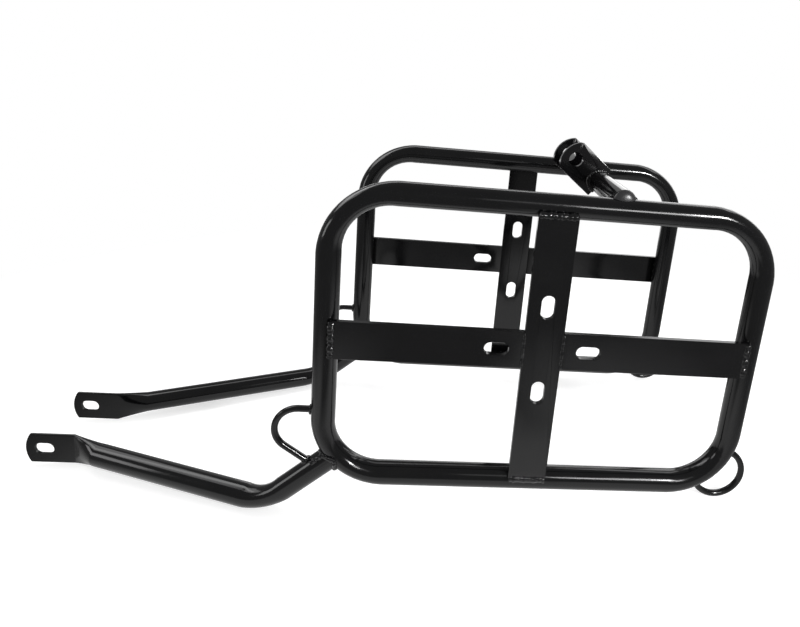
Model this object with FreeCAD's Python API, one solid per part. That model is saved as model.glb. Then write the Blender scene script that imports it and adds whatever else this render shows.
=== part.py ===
import FreeCAD, Part
import math
import os

from FreeCAD import Vector

# Motorcycle luggage rack: two side frames of bent tube, each braced by flat
# bars in a cross and carried by a bent leg, joined by one cross tube that
# holds a fork bracket. All pieces are welded.
# Millimetres. X runs to the rear, Z up, and Y = 0 is the plane of symmetry.
# The frames lie level, as they are fitted to the motorcycle.

# Tube and rod stock
TUBE_DIAMETER = 21.3
TUBE_WALL = 1.5
RING_ROD_DIAMETER = 6.0

# Side frames, measured on the centre line of the tube
FRAME_LENGTH = 383.2
FRAME_HEIGHT = 266.3
FRAME_CORNER_RADIUS = 55.0
FRAME_SPACING = 216.0
BEND_FLATTENING = 1.25

# Flat bars of the cross
BAR_WIDTH = 35.0
BAR_THICKNESS = 5.0
BAR_STANDOUT = 2.35
CROSSING_X = -2.5
CROSSING_Z = 4.2
BAR_SLOT_LENGTH = 22.0
BAR_SLOT_WIDTH = 12.0
BAR_SLOT_SPACING = 82.0

# Legs; each rises from its bend straight into the lower front corner
LEG_REACH = 496.5
LEG_BEND_FROM_FRAME = 82.4
LEG_SLOPE = 2.2
LEG_RISE = 40.25
LEG_BEND_RADIUS = 55.0
LEG_EYE_OFFSET = 36.5
LEG_EYE_LENGTH = 46.0
LEG_EYE_HEIGHT = 32.5
LEG_EYE_END_RADIUS = 30.0
LEG_TAPER_LENGTH = 30.0
LEG_SLOT_LENGTH = 18.5
LEG_SLOT_WIDTH = 12.5
LEG_SLOT_FROM_END = 17.3

# Rings for straps, placed from the lower corners of the side frames
FRONT_RING_AHEAD = 21.4
FRONT_RING_BELOW_CORNER = 13.15
FRONT_RING_RADIUS = 21.0
FRONT_RING_TAIL_ANGLE = 36.0
REAR_RING_FROM_FRAME = 12.95
REAR_RING_DROP_ANGLE = 40.2
REAR_RING_RADIUS = 24.0

# Cross tube and fork bracket
CROSS_TUBE_X = 54.5
CROSS_TUBE_RAISE = 8.0
FORK_GAP = 30.0
FORK_PLATE_THICKNESS = 5.0
FORK_PLATE_WIDTH = 34.0
FORK_TILT = 38.6
FORK_HOLE_DIAMETER = 14.0
FORK_HOLE_FROM_TUBE = 32.4
FORK_HOLE_TO_END = 14.0
FORK_END_RADIUS = 23.4
FORK_PLATE_TAIL = 3.0

# Weld beads
TUBE_BEAD = 2.8
ROD_BEAD = 2.0
BAR_BEAD_RADIUS = 3.6
BAR_BEAD_LIFT = 0.35
SEAM_BEAD_RADIUS = 2.2
SEAM_BEAD_HEIGHT = 1.0
FORK_BEAD = 2.6

# Worked-out values
TUBE_RADIUS = TUBE_DIAMETER / 2
BORE_RADIUS = TUBE_RADIUS - TUBE_WALL
ROD_RADIUS = RING_ROD_DIAMETER / 2
HALF_LENGTH = FRAME_LENGTH / 2
HALF_HEIGHT = FRAME_HEIGHT / 2
HALF_SPACING = FRAME_SPACING / 2
CORNER_X = HALF_LENGTH - FRAME_CORNER_RADIUS
CORNER_Z = HALF_HEIGHT - FRAME_CORNER_RADIUS
BAR_OUTER = TUBE_RADIUS + BAR_STANDOUT
BAR_INNER = BAR_OUTER - BAR_THICKNESS
BAR_INSET = math.sqrt(TUBE_RADIUS ** 2 - BAR_INNER ** 2)
EYE_THICKNESS = 2 * TUBE_WALL
EYE_END_X = -LEG_REACH + LEG_EYE_LENGTH
CROSS_TUBE_Z = HALF_HEIGHT + CROSS_TUBE_RAISE
OUTWARD = Vector(0, 1, 0)
UP = Vector(0, 0, 1)
REARWARD = Vector(1, 0, 0)


# Basic shapes

def at_angle(degrees):
    """Unit direction in the XZ plane, counted from +X towards +Z."""
    angle = math.radians(degrees)
    return Vector(math.cos(angle), 0, math.sin(angle))


def cylinder(radius, start, end):
    """Solid cylinder between two points."""
    along = end - start
    return Part.makeCylinder(radius, along.Length, start, along)


def box_between(low, high):
    """Box with its edges along the axes, given by two opposite corners."""
    size = high - low
    return Part.makeBox(size.x, size.y, size.z, low)


def arc_edge(centre, radius, first_angle, last_angle):
    """Arc in an XZ plane from one angle to another through their mean."""
    middle_angle = (first_angle + last_angle) / 2
    points = [centre + at_angle(angle) * radius
              for angle in (first_angle, middle_angle, last_angle)]
    return Part.Arc(points[0], points[1], points[2]).toShape()


def swept(edges, radius):
    """Round bar of one radius along a chain of edges."""
    path = Part.Wire(edges)
    first = edges[0]
    start = first.valueAt(first.FirstParameter)
    heading = first.tangentAt(first.FirstParameter)
    profile = Part.Wire(Part.makeCircle(radius, start, heading))
    return path.makePipeShell([profile], True, False)


def tube_outline(centre, heading, side, half_side, half_across):
    """Round or oval outline across a heading, with its seam on one side."""
    if math.isclose(half_side, half_across):
        ring = Part.makeCircle(half_side, centre, heading)
        start = ring.Vertexes[0].Point - centre
        turn = math.atan2(heading.dot(start.cross(side)), start.dot(side))
        ring.rotate(centre, heading, math.degrees(turn))
        return Part.Wire(ring)
    across = heading.cross(side)
    oval = Part.Ellipse(centre + side * half_side, centre + across * half_across, centre)
    return Part.Wire(oval.toShape())


def bent_piece(arc, side, radius):
    """Tube along an arc, round at both ends and flatter in its middle."""
    outlines = []
    for share, flattening in ((0, 0), (0.5, BEND_FLATTENING), (1, 0)):
        place = arc.FirstParameter + share * (arc.LastParameter - arc.FirstParameter)
        heading = arc.tangentAt(place)
        outlines.append(tube_outline(arc.valueAt(place), heading, side, radius, radius - flattening))
    return Part.Wire([arc]).makePipeShell(outlines, True, False)


def bent_tube(edges, side, radius):
    """Solid along a chain of lines and arcs that bend in one plane."""
    pieces = []
    for edge in edges:
        if isinstance(edge.Curve, Part.Line):
            pieces.append(cylinder(radius, edge.Vertexes[0].Point, edge.Vertexes[-1].Point))
        else:
            pieces.append(bent_piece(edge, side, radius))
    return pieces[0].fuse(pieces[1:]).removeSplitter()


def slotted_hole(centre, length, width, along, depth):
    """Cutter for a slot with round ends that runs through along Y."""
    half = (length - width) / 2
    push = OUTWARD * depth
    ends = [centre + along * half, centre - along * half]
    cutter = cylinder(width / 2, ends[0] - push, ends[0] + push)
    cutter = cutter.fuse(cylinder(width / 2, ends[1] - push, ends[1] + push))
    across = Vector(along.z, 0, along.x) * (width / 2)
    corners = [ends[0] + across, ends[1] + across, ends[1] - across, ends[0] - across]
    corners = [corner - push for corner in corners]
    face = Part.Face(Part.makePolygon(corners + corners[:1]))
    return cutter.fuse(face.extrude(push * 2)).removeSplitter()


def largest_solid(shape):
    """The biggest solid of a shape, without slivers left by a cut."""
    return max(shape.Solids, key=lambda solid: solid.Volume)


# One side, drawn at positive Y and mirrored for the other

def frame_path():
    """Centre line of a side frame as a closed chain of lines and arcs."""
    y = HALF_SPACING
    corners = [(CORNER_X, CORNER_Z, 0), (-CORNER_X, CORNER_Z, 90),
               (-CORNER_X, -CORNER_Z, 180), (CORNER_X, -CORNER_Z, 270)]
    arcs = [arc_edge(Vector(x, y, z), FRAME_CORNER_RADIUS, angle, angle + 90)
            for x, z, angle in corners]
    edges = []
    for index, arc in enumerate(arcs):
        following = arcs[(index + 1) % 4]
        edges.append(arc)
        edges.append(Part.makeLine(arc.valueAt(arc.LastParameter),
                                   following.valueAt(following.FirstParameter)))
    return edges


def frame_solid(radius):
    """Closed tube of a side frame without its bore."""
    return bent_tube(frame_path(), OUTWARD, radius)


def side_frame():
    return frame_solid(TUBE_RADIUS).cut(frame_solid(BORE_RADIUS))


def bar_blank(low_x, high_x, low_z, high_z):
    """Flat bar on the outer side of a frame."""
    low = Vector(low_x, HALF_SPACING + BAR_INNER, low_z)
    high = Vector(high_x, HALF_SPACING + BAR_OUTER, high_z)
    return box_between(low, high)


def bar_slots():
    """Cutters for the four slots of the cross."""
    centre = Vector(CROSSING_X, HALF_SPACING + BAR_INNER, CROSSING_Z)
    cutters = []
    for along in (REARWARD, UP):
        for sign in (-1, 1):
            place = centre + along * (sign * BAR_SLOT_SPACING / 2)
            cutters.append(slotted_hole(place, BAR_SLOT_LENGTH, BAR_SLOT_WIDTH,
                                        along, 2 * BAR_THICKNESS))
    return cutters


def upright_bar():
    reach = HALF_HEIGHT - BAR_INSET
    bar = bar_blank(CROSSING_X - BAR_WIDTH / 2, CROSSING_X + BAR_WIDTH / 2, -reach, reach)
    return bar.cut(bar_slots())


def front_cross_bar():
    bar = bar_blank(BAR_INSET - HALF_LENGTH, CROSSING_X - BAR_WIDTH / 2,
                    CROSSING_Z - BAR_WIDTH / 2, CROSSING_Z + BAR_WIDTH / 2)
    return bar.cut(bar_slots())


def rear_cross_bar():
    bar = bar_blank(CROSSING_X + BAR_WIDTH / 2, HALF_LENGTH - BAR_INSET,
                    CROSSING_Z - BAR_WIDTH / 2, CROSSING_Z + BAR_WIDTH / 2)
    return bar.cut(bar_slots())


# Leg

def leg_joint():
    """Point where the leg's centre line meets that of the frame's corner."""
    return (Vector(-CORNER_X, HALF_SPACING, -CORNER_Z)
            - at_angle(LEG_RISE) * FRAME_CORNER_RADIUS)


def leg_bend_point():
    return leg_joint() - at_angle(LEG_RISE) * LEG_BEND_FROM_FRAME


def eye_end():
    """Point where the flattened eye ends, on the centre line of the leg."""
    bend = leg_bend_point()
    drop = (bend.x - EYE_END_X) * math.tan(math.radians(LEG_SLOPE))
    return Vector(EYE_END_X, LEG_EYE_OFFSET, bend.z - drop)


def leg_heading():
    """Direction of the leg from its eye to its bend."""
    heading = leg_bend_point() - eye_end()
    return heading.normalize()


def leg_path(start_distance):
    """Centre line of the round part, from a distance behind the eye's end."""
    bend = leg_bend_point()
    heading = leg_heading()
    rising = at_angle(LEG_RISE)
    turn = heading.getAngle(rising)
    setback = LEG_BEND_RADIUS * math.tan(turn / 2)
    start = eye_end() + heading * start_distance
    bend_start = bend - heading * setback
    bend_end = bend + rising * setback
    inward = (rising - heading).normalize()
    centre = bend + inward * (LEG_BEND_RADIUS / math.cos(turn / 2))
    bend_middle = centre - inward * LEG_BEND_RADIUS
    return [Part.makeLine(start, bend_start),
            Part.Arc(bend_start, bend_middle, bend_end).toShape(),
            Part.makeLine(bend_end, leg_joint())]


def leg_tube(radius):
    """Round part of the leg, from its taper to the side frame."""
    bend_side = at_angle(LEG_RISE).cross(leg_heading()).normalize()
    return bent_tube(leg_path(LEG_TAPER_LENGTH), bend_side, radius)


def flat_profile(centre, height, thickness):
    """Upright flat outline with round ends, in a YZ plane."""
    half = (height - thickness) / 2
    side = OUTWARD * (thickness / 2)
    top = centre + UP * half
    bottom = centre - UP * half
    return Part.Wire([
        Part.makeLine(bottom + side, top + side),
        Part.Arc(top + side, top + UP * (thickness / 2), top - side).toShape(),
        Part.makeLine(top - side, bottom - side),
        Part.Arc(bottom - side, bottom - UP * (thickness / 2), bottom + side).toShape()])


def round_profile(centre, heading, radius):
    """Circle in four arcs that match the edges of the flat outline."""
    across = UP.cross(heading).normalize()
    upward = heading.cross(across).normalize()
    crown = math.radians(28)

    def point(angle):
        return centre + across * (radius * math.cos(angle)) + upward * (radius * math.sin(angle))

    marks = [-math.pi / 2 + crown, math.pi / 2 - crown, math.pi / 2 + crown, 3 * math.pi / 2 - crown,
             3 * math.pi / 2 + crown]
    return Part.Wire([Part.Arc(point(first), point((first + last) / 2), point(last)).toShape()
                      for first, last in zip(marks, marks[1:])])


def leg_taper(radius, flat_start, height, thickness):
    """Transition from the flat eye to the round tube."""
    start = eye_end() + REARWARD * flat_start
    end = eye_end() + leg_heading() * LEG_TAPER_LENGTH
    return Part.makeLoft([flat_profile(start, height, thickness),
                          round_profile(end, leg_heading(), radius)], True, True)


def leg_eye():
    """Flattened end of the leg with a shallow round tip."""
    middle = eye_end()
    profile = Part.Face(flat_profile(middle, LEG_EYE_HEIGHT, EYE_THICKNESS))
    blank = profile.extrude(REARWARD * -LEG_EYE_LENGTH)
    tip_centre = Vector(LEG_EYE_END_RADIUS - LEG_REACH, LEG_EYE_OFFSET, middle.z)
    push = OUTWARD * LEG_EYE_HEIGHT
    tip = cylinder(LEG_EYE_END_RADIUS, tip_centre - push, tip_centre + push)
    rest = box_between(Vector(tip_centre.x, 0, middle.z - LEG_EYE_HEIGHT),
                       Vector(EYE_END_X + EYE_THICKNESS, HALF_SPACING, middle.z + LEG_EYE_HEIGHT))
    return blank.common(tip.fuse(rest))


def leg_solid():
    """Leg without its bore, slot or cope."""
    return leg_tube(TUBE_RADIUS).fuse(
        leg_taper(TUBE_RADIUS, 0, LEG_EYE_HEIGHT, EYE_THICKNESS))


def leg():
    slot_centre = Vector(LEG_SLOT_FROM_END - LEG_REACH, LEG_EYE_OFFSET, eye_end().z)
    slot = slotted_hole(slot_centre, LEG_SLOT_LENGTH, LEG_SLOT_WIDTH, REARWARD, LEG_EYE_OFFSET / 2)
    bore = leg_tube(BORE_RADIUS).fuse(
        leg_taper(BORE_RADIUS, TUBE_WALL, LEG_EYE_HEIGHT - 2 * TUBE_WALL, EYE_THICKNESS / 8))
    shape = leg_solid().fuse(leg_eye()).cut(bore)
    return largest_solid(shape.cut([slot, frame_solid(TUBE_RADIUS)]).removeSplitter())


# Rings

def front_ring_path():
    """Rod from the front rail round the ring and down to the leg's centre line."""
    centre = Vector(-HALF_LENGTH - FRONT_RING_AHEAD, HALF_SPACING,
                    -CORNER_Z - FRONT_RING_BELOW_CORNER)
    tail_start_angle = 270 - FRONT_RING_TAIL_ANGLE
    top = centre + UP * FRONT_RING_RADIUS
    root = Vector(-HALF_LENGTH, HALF_SPACING, top.z)
    arc = arc_edge(centre, FRONT_RING_RADIUS, 90, tail_start_angle)
    tail_start = arc.valueAt(arc.LastParameter)
    tail = at_angle(-FRONT_RING_TAIL_ANGLE)
    leg_side = at_angle(LEG_RISE + 90)
    tail_length = (leg_joint() - tail_start).dot(leg_side) / tail.dot(leg_side)
    return [Part.makeLine(root, top), arc,
            Part.makeLine(tail_start, tail_start + tail * tail_length)]


def rear_ring_centre():
    """Centre of the ring, outside the curve of the lower rear corner."""
    corner = Vector(CORNER_X, HALF_SPACING, -CORNER_Z)
    return corner + at_angle(-REAR_RING_DROP_ANGLE) * (FRAME_CORNER_RADIUS + REAR_RING_FROM_FRAME)


def rear_ring_path():
    return [arc_edge(rear_ring_centre(), REAR_RING_RADIUS, -150, 75)]


def front_ring():
    shape = swept(front_ring_path(), ROD_RADIUS)
    return largest_solid(shape.cut([frame_solid(TUBE_RADIUS), leg_solid()]))


def rear_ring():
    shape = swept(rear_ring_path(), ROD_RADIUS)
    return largest_solid(shape.cut(frame_solid(TUBE_RADIUS)))


# Cross tube and fork bracket

def cross_tube_solid(radius, half_length=HALF_SPACING):
    push = OUTWARD * half_length
    middle = Vector(CROSS_TUBE_X, 0, CROSS_TUBE_Z)
    return cylinder(radius, middle - push, middle + push)


def top_rail(radius, sign):
    """Straight top of a side frame, used for coping."""
    middle = Vector(CROSS_TUBE_X, sign * HALF_SPACING, HALF_HEIGHT)
    reach = REARWARD * (FRAME_CORNER_RADIUS + TUBE_DIAMETER)
    return cylinder(radius, middle - reach, middle + reach)


def cross_tube():
    rails = [top_rail(TUBE_RADIUS, -1), top_rail(TUBE_RADIUS, 1)]
    shape = cross_tube_solid(TUBE_RADIUS).cut(cross_tube_solid(BORE_RADIUS))
    return largest_solid(shape.cut(rails))


def plate_outline(inner_y, outer_y):
    """Outline of a fork plate as a solid between two planes of constant Y."""
    pointing = at_angle(180 - FORK_TILT)
    across = at_angle(90 - FORK_TILT) * (FORK_PLATE_WIDTH / 2)
    tube_middle = Vector(CROSS_TUBE_X, inner_y, CROSS_TUBE_Z)
    hole_middle = tube_middle + pointing * FORK_HOLE_FROM_TUBE
    tail = tube_middle - pointing * FORK_PLATE_TAIL
    apex = hole_middle + pointing * FORK_HOLE_TO_END
    half_width = FORK_PLATE_WIDTH / 2
    arc_height = FORK_END_RADIUS - math.sqrt(FORK_END_RADIUS ** 2 - half_width ** 2)
    shoulder = apex - pointing * arc_height
    outline = Part.Wire([
        Part.makeLine(tail + across, tail - across),
        Part.makeLine(tail - across, shoulder - across),
        Part.Arc(shoulder - across, apex, shoulder + across).toShape(),
        Part.makeLine(shoulder + across, tail + across)])
    depth = OUTWARD * (outer_y - inner_y)
    hole = cylinder(FORK_HOLE_DIAMETER / 2, hole_middle - depth, hole_middle + depth * 2)
    return Part.Face(outline).extrude(depth).cut(hole)


def fork_plate():
    inner = FORK_GAP / 2
    plate = plate_outline(inner, inner + FORK_PLATE_THICKNESS)
    return largest_solid(plate.cut(cross_tube_solid(TUBE_RADIUS)))


# Weld beads, each a separate solid that fills the corner between its pieces

def bar_end_bead(centre, along, length):
    """Bead across the end of a flat bar."""
    push = along * ((length - 2 * BAR_BEAD_RADIUS) / 2)
    bead = cylinder(BAR_BEAD_RADIUS, centre - push, centre + push)
    for end in (centre - push, centre + push):
        bead = bead.fuse(Part.makeSphere(BAR_BEAD_RADIUS, end))
    return bead


def bar_welds():
    """Beads at the four ends of the cross and along its two seams."""
    y = HALF_SPACING + BAR_OUTER - BAR_BEAD_RADIUS + BAR_BEAD_RADIUS * BAR_BEAD_LIFT
    depth = BAR_INSET - BAR_BEAD_RADIUS * BAR_BEAD_LIFT / 2
    ends = [(Vector(depth - HALF_LENGTH, y, CROSSING_Z), UP),
            (Vector(HALF_LENGTH - depth, y, CROSSING_Z), UP),
            (Vector(CROSSING_X, y, depth - HALF_HEIGHT), REARWARD),
            (Vector(CROSSING_X, y, HALF_HEIGHT - depth), REARWARD)]
    reach_x = HALF_LENGTH - BAR_INSET
    reach_z = HALF_HEIGHT - BAR_INSET
    zone_low = HALF_SPACING
    zone_high = HALF_SPACING + BAR_OUTER
    half = BAR_WIDTH / 2
    level = box_between(Vector(-reach_x, zone_low, CROSSING_Z - half),
                        Vector(reach_x, zone_high, CROSSING_Z + half))
    upright = box_between(Vector(CROSSING_X - half, zone_low, -reach_z),
                          Vector(CROSSING_X + half, zone_high, reach_z))
    blockers = [frame_solid(TUBE_RADIUS), level, upright]
    beads = [largest_solid(bar_end_bead(centre, along, BAR_WIDTH).cut(blockers))
             for centre, along in ends]
    seam_y = HALF_SPACING + BAR_OUTER - SEAM_BEAD_RADIUS + SEAM_BEAD_HEIGHT
    for sign in (-1, 1):
        middle = Vector(CROSSING_X + sign * half, seam_y, CROSSING_Z)
        push = UP * (half - SEAM_BEAD_RADIUS)
        seam = cylinder(SEAM_BEAD_RADIUS, middle - push, middle + push)
        beads.append(largest_solid(seam.cut([level, upright])))
    return Part.makeCompound(beads)


def leg_weld():
    """Bead round the joint of the leg and the side frame."""
    rising = at_angle(LEG_RISE)
    joint = leg_joint()
    sleeve = cylinder(TUBE_RADIUS + TUBE_BEAD, joint - rising * TUBE_DIAMETER, joint - rising * TUBE_WALL)
    bead = sleeve.common(frame_solid(TUBE_RADIUS + TUBE_BEAD))
    return bead.cut([frame_solid(TUBE_RADIUS), leg_solid()])


def rod_end_bead(point, heading, carrier, blockers):
    """Collar round a rod where it enters a tube, within a thicker carrier."""
    reach = heading * RING_ROD_DIAMETER
    sleeve = cylinder(ROD_RADIUS + ROD_BEAD, point - reach, point + reach)
    return sleeve.common(carrier).cut(blockers)


def ring_welds():
    """Beads at the ends of both rings."""
    frame = frame_solid(TUBE_RADIUS)
    fat_frame = frame_solid(TUBE_RADIUS + ROD_BEAD)
    leg_bar = leg_solid()
    fat_leg = leg_tube(TUBE_RADIUS + ROD_BEAD)
    front_rod = swept(front_ring_path(), ROD_RADIUS)
    rear_rod = swept(rear_ring_path(), ROD_RADIUS)
    top = front_ring_path()[0].valueAt(front_ring_path()[0].FirstParameter)
    root = top - REARWARD * TUBE_RADIUS
    beads = [rod_end_bead(root, REARWARD, fat_frame, [frame, front_rod])]
    tail = front_ring_path()[2]
    tail_heading = at_angle(-FRONT_RING_TAIL_ANGLE)
    tail_end = nearest_entry(tail, TUBE_RADIUS, leg_path(LEG_TAPER_LENGTH)[2])
    beads.append(rod_end_bead(tail_end, tail_heading, fat_leg,
                              [leg_bar, frame, front_rod, leg_weld()]))
    rear = rear_ring_path()[0]
    corner = frame_path()[6]
    for edge_end in (rear.FirstParameter, rear.LastParameter):
        entry, heading = entry_on_arc(rear, edge_end, TUBE_RADIUS, corner)
        beads.append(rod_end_bead(entry, heading, fat_frame, [frame, rear_rod]))
    return Part.makeCompound([largest_solid(bead) for bead in beads])


def nearest_entry(line, distance, axis):
    """Point of a line that lies at a distance from an axis edge."""
    low, high = line.FirstParameter, line.LastParameter
    for _ in range(40):
        middle = (low + high) / 2
        gap = axis.distToShape(Part.Vertex(line.valueAt(middle)))[0]
        if gap > distance:
            low = middle
        else:
            high = middle
    return line.valueAt(high)


def entry_on_arc(arc, inside, distance, axis):
    """Point and heading where an arc leaves a tube it starts inside of."""
    outside = (arc.FirstParameter + arc.LastParameter) / 2
    low, high = inside, outside
    for _ in range(40):
        middle = (low + high) / 2
        gap = axis.distToShape(Part.Vertex(arc.valueAt(middle)))[0]
        if gap < distance:
            low = middle
        else:
            high = middle
    return arc.valueAt(low), arc.tangentAt(low)


def cross_tube_weld():
    """Bead where the cross tube meets a top rail."""
    start = Vector(CROSS_TUBE_X, HALF_SPACING - TUBE_DIAMETER, CROSS_TUBE_Z)
    end = Vector(CROSS_TUBE_X, HALF_SPACING, CROSS_TUBE_Z)
    sleeve = cylinder(TUBE_RADIUS + TUBE_BEAD, start, end)
    bead = sleeve.common(top_rail(TUBE_RADIUS + TUBE_BEAD, 1))
    return largest_solid(bead.cut([top_rail(TUBE_RADIUS, 1), cross_tube_solid(TUBE_RADIUS)]))


def fork_weld():
    """Bead round the cross tube on the outer face of a fork plate."""
    face = FORK_GAP / 2 + FORK_PLATE_THICKNESS
    start = Vector(CROSS_TUBE_X, face, CROSS_TUBE_Z)
    collar = cylinder(TUBE_RADIUS + FORK_BEAD, start, start + OUTWARD * FORK_BEAD)
    pointing = at_angle(180 - FORK_TILT)
    across = at_angle(90 - FORK_TILT) * TUBE_DIAMETER
    base = start - pointing * FORK_PLATE_TAIL
    corners = [base - across, base + across,
               base + across + pointing * FORK_PLATE_WIDTH, base - across + pointing * FORK_PLATE_WIDTH]
    keep = Part.Face(Part.makePolygon(corners + corners[:1])).extrude(OUTWARD * FORK_BEAD)
    return largest_solid(collar.common(keep).cut(cross_tube_solid(TUBE_RADIUS)))


# Placing and output

def mirrored(shape):
    """The same piece on the other side of the motorcycle."""
    return shape.mirror(Vector(0, 0, 0), OUTWARD)


def own_frame_shift():
    """Move from the centre of the side frames to the middle of the rack's base."""
    front = -LEG_REACH
    rear = rear_ring_centre().x + REAR_RING_RADIUS + ROD_RADIUS
    lowest = eye_end().z - LEG_EYE_HEIGHT / 2
    return Vector(-(front + rear) / 2, 0, -lowest)


def save(name, shape):
    placed = shape.copy()
    placed.translate(own_frame_shift())
    placed.exportStep(f"parts/{name}.step")


def main():
    os.makedirs("parts", exist_ok=True)
    paired = {"frame": side_frame(), "upright_bar": upright_bar(),
              "front_cross_bar": front_cross_bar(), "rear_cross_bar": rear_cross_bar(),
              "leg": leg(), "front_ring": front_ring(), "rear_ring": rear_ring(),
              "fork_plate": fork_plate(), "bar_welds": bar_welds(), "leg_weld": leg_weld(),
              "ring_welds": ring_welds(), "cross_tube_weld": cross_tube_weld(),
              "fork_weld": fork_weld()}
    for name, shape in paired.items():
        save(f"right_{name}", shape)
        save(f"left_{name}", mirrored(shape))
    save("cross_tube", cross_tube())


main()
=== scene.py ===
"""Looks of a welded motorcycle luggage rack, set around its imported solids.

The tubes, bars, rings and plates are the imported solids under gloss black
paint. The weld beads are worked out here as rippled surfaces that follow
the lines on which the pieces meet, and a plug closes each end of the cross
tube.
"""
import logging
import math
from dataclasses import dataclass, field
from enum import Enum

import bpy
import numpy as np
from mathutils import Matrix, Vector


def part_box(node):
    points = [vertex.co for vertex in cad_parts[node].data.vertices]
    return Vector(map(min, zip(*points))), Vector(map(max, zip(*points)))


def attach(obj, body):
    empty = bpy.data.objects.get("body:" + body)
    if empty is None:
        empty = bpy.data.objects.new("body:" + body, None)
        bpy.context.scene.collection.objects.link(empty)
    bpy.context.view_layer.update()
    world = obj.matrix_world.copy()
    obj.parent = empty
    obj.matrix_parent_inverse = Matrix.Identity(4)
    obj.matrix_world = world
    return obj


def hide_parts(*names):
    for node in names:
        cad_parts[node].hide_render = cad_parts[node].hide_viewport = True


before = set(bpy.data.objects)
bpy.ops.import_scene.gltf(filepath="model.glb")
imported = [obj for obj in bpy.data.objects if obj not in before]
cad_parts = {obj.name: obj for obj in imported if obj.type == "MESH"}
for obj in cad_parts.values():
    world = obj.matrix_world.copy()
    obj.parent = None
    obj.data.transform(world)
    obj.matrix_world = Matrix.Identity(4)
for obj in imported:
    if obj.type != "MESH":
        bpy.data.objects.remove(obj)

LOG = logging.getLogger("rack")
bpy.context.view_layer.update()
BODY = "root"
MM = 0.001
UP = np.array([0.0, 0.0, 1.0])
WHITE = (1.0, 1.0, 1.0, 1.0)
MERGE_DISTANCE = 0.002 * MM
EASED_ANGLE = math.radians(50)
SMOOTH_ANGLE = math.radians(32)
HALVINGS = 40


class Side(Enum):
    """Side of the motorcycle, with the sign of its Y."""

    LEFT = -1
    RIGHT = 1

    def node(self, part: str) -> str:
        """Name of this side's node of a part."""
        return f"{self.name.lower()}_{part}"

    def outward(self) -> np.ndarray:
        """Direction away from the middle of the rack."""
        return np.array([0.0, float(self.value), 0.0])


# Small helpers

def unit(vectors: np.ndarray) -> np.ndarray:
    """Vectors of length one along the last axis."""
    return vectors / np.linalg.norm(vectors, axis=-1, keepdims=True)


def linear(hex_colour: str) -> tuple[float, float, float, float]:
    """Linear colour with alpha of an sRGB hex value.

    Each channel is a twelfth of its value near black, and above that a
    power of 2.4 of its shifted value.

    Args:
        hex_colour: Colour as six hex digits after a hash sign.

    Returns:
        Red, green, blue and an alpha of one.
    """
    channels = [int(hex_colour[i:i + 2], 16) / 255 for i in (1, 3, 5)]
    values = [c / 12.92 if c <= 0.04045 else ((c + 0.055) / 1.055) ** 2.4 for c in channels]
    return (values[0], values[1], values[2], 1.0)


def box_of(node: str) -> tuple[np.ndarray, np.ndarray]:
    """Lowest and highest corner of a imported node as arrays."""
    low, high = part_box(node)
    return np.array(low), np.array(high)


def add_node(tree: bpy.types.NodeTree, kind: str, inputs: dict | None = None, **settings) -> bpy.types.Node:
    """Add one node, set its properties and fill or link its inputs.

    Args:
        tree: Node tree that gets the node.
        kind: Blender's name of the node type.
        inputs: Values, or output sockets to link, by input name or index.
        **settings: Properties of the node.

    Returns:
        The new node.
    """
    node = tree.nodes.new(kind)
    for name, value in settings.items():
        setattr(node, name, value)
    for key, value in (inputs or {}).items():
        if isinstance(value, bpy.types.NodeSocket):
            tree.links.new(value, node.inputs[key])
        else:
            node.inputs[key].default_value = value
    return node


def empty_material(name: str) -> bpy.types.Material:
    """New material with an empty node tree."""
    material = bpy.data.materials.new(name)
    material.use_nodes = True
    material.node_tree.nodes.clear()
    return material


def grid_object(name: str, points: np.ndarray, loop: bool) -> bpy.types.Object:
    """Closed surface from rings of points.

    Quads join each ring to the next. A loop joins its last ring to its
    first, and any other surface is closed by a fan to a pole at each end.

    Args:
        name: Name of the object.
        points: Array of shape (rings, points in a ring, 3), in metres.
        loop: Whether the last ring joins the first.

    Returns:
        The object, linked to the scene and shaded smooth.
    """
    rings, count, _ = points.shape
    index = np.arange(rings * count).reshape(rings, count)
    rows = index if loop else index[:-1]
    following = np.roll(index, -1, axis=0) if loop else index[1:]
    beside = np.roll(np.arange(count), -1)
    quads = np.stack([rows, rows[:, beside], following[:, beside], following], axis=-1)
    faces = quads.reshape(-1, 4).tolist()
    vertices = points.reshape(-1, 3)
    if not loop:
        poles = np.stack([points[0].mean(axis=0), points[-1].mean(axis=0)])
        vertices = np.concatenate([vertices, poles])
        first, last = rings * count, rings * count + 1
        faces += np.stack([np.full(count, first), index[0][beside], index[0]], axis=-1).tolist()
        faces += np.stack([np.full(count, last), index[-1], index[-1][beside]], axis=-1).tolist()
    mesh = bpy.data.meshes.new(name)
    mesh.from_pydata(vertices.tolist(), [], faces)
    mesh.polygons.foreach_set("use_smooth", np.ones(len(mesh.polygons), dtype=bool))
    mesh.update()
    return link_object(name, mesh)


def link_object(name: str, mesh: bpy.types.Mesh) -> bpy.types.Object:
    """New object of a mesh, linked to the scene."""
    obj = bpy.data.objects.new(name, mesh)
    bpy.context.scene.collection.objects.link(obj)
    return obj


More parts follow.
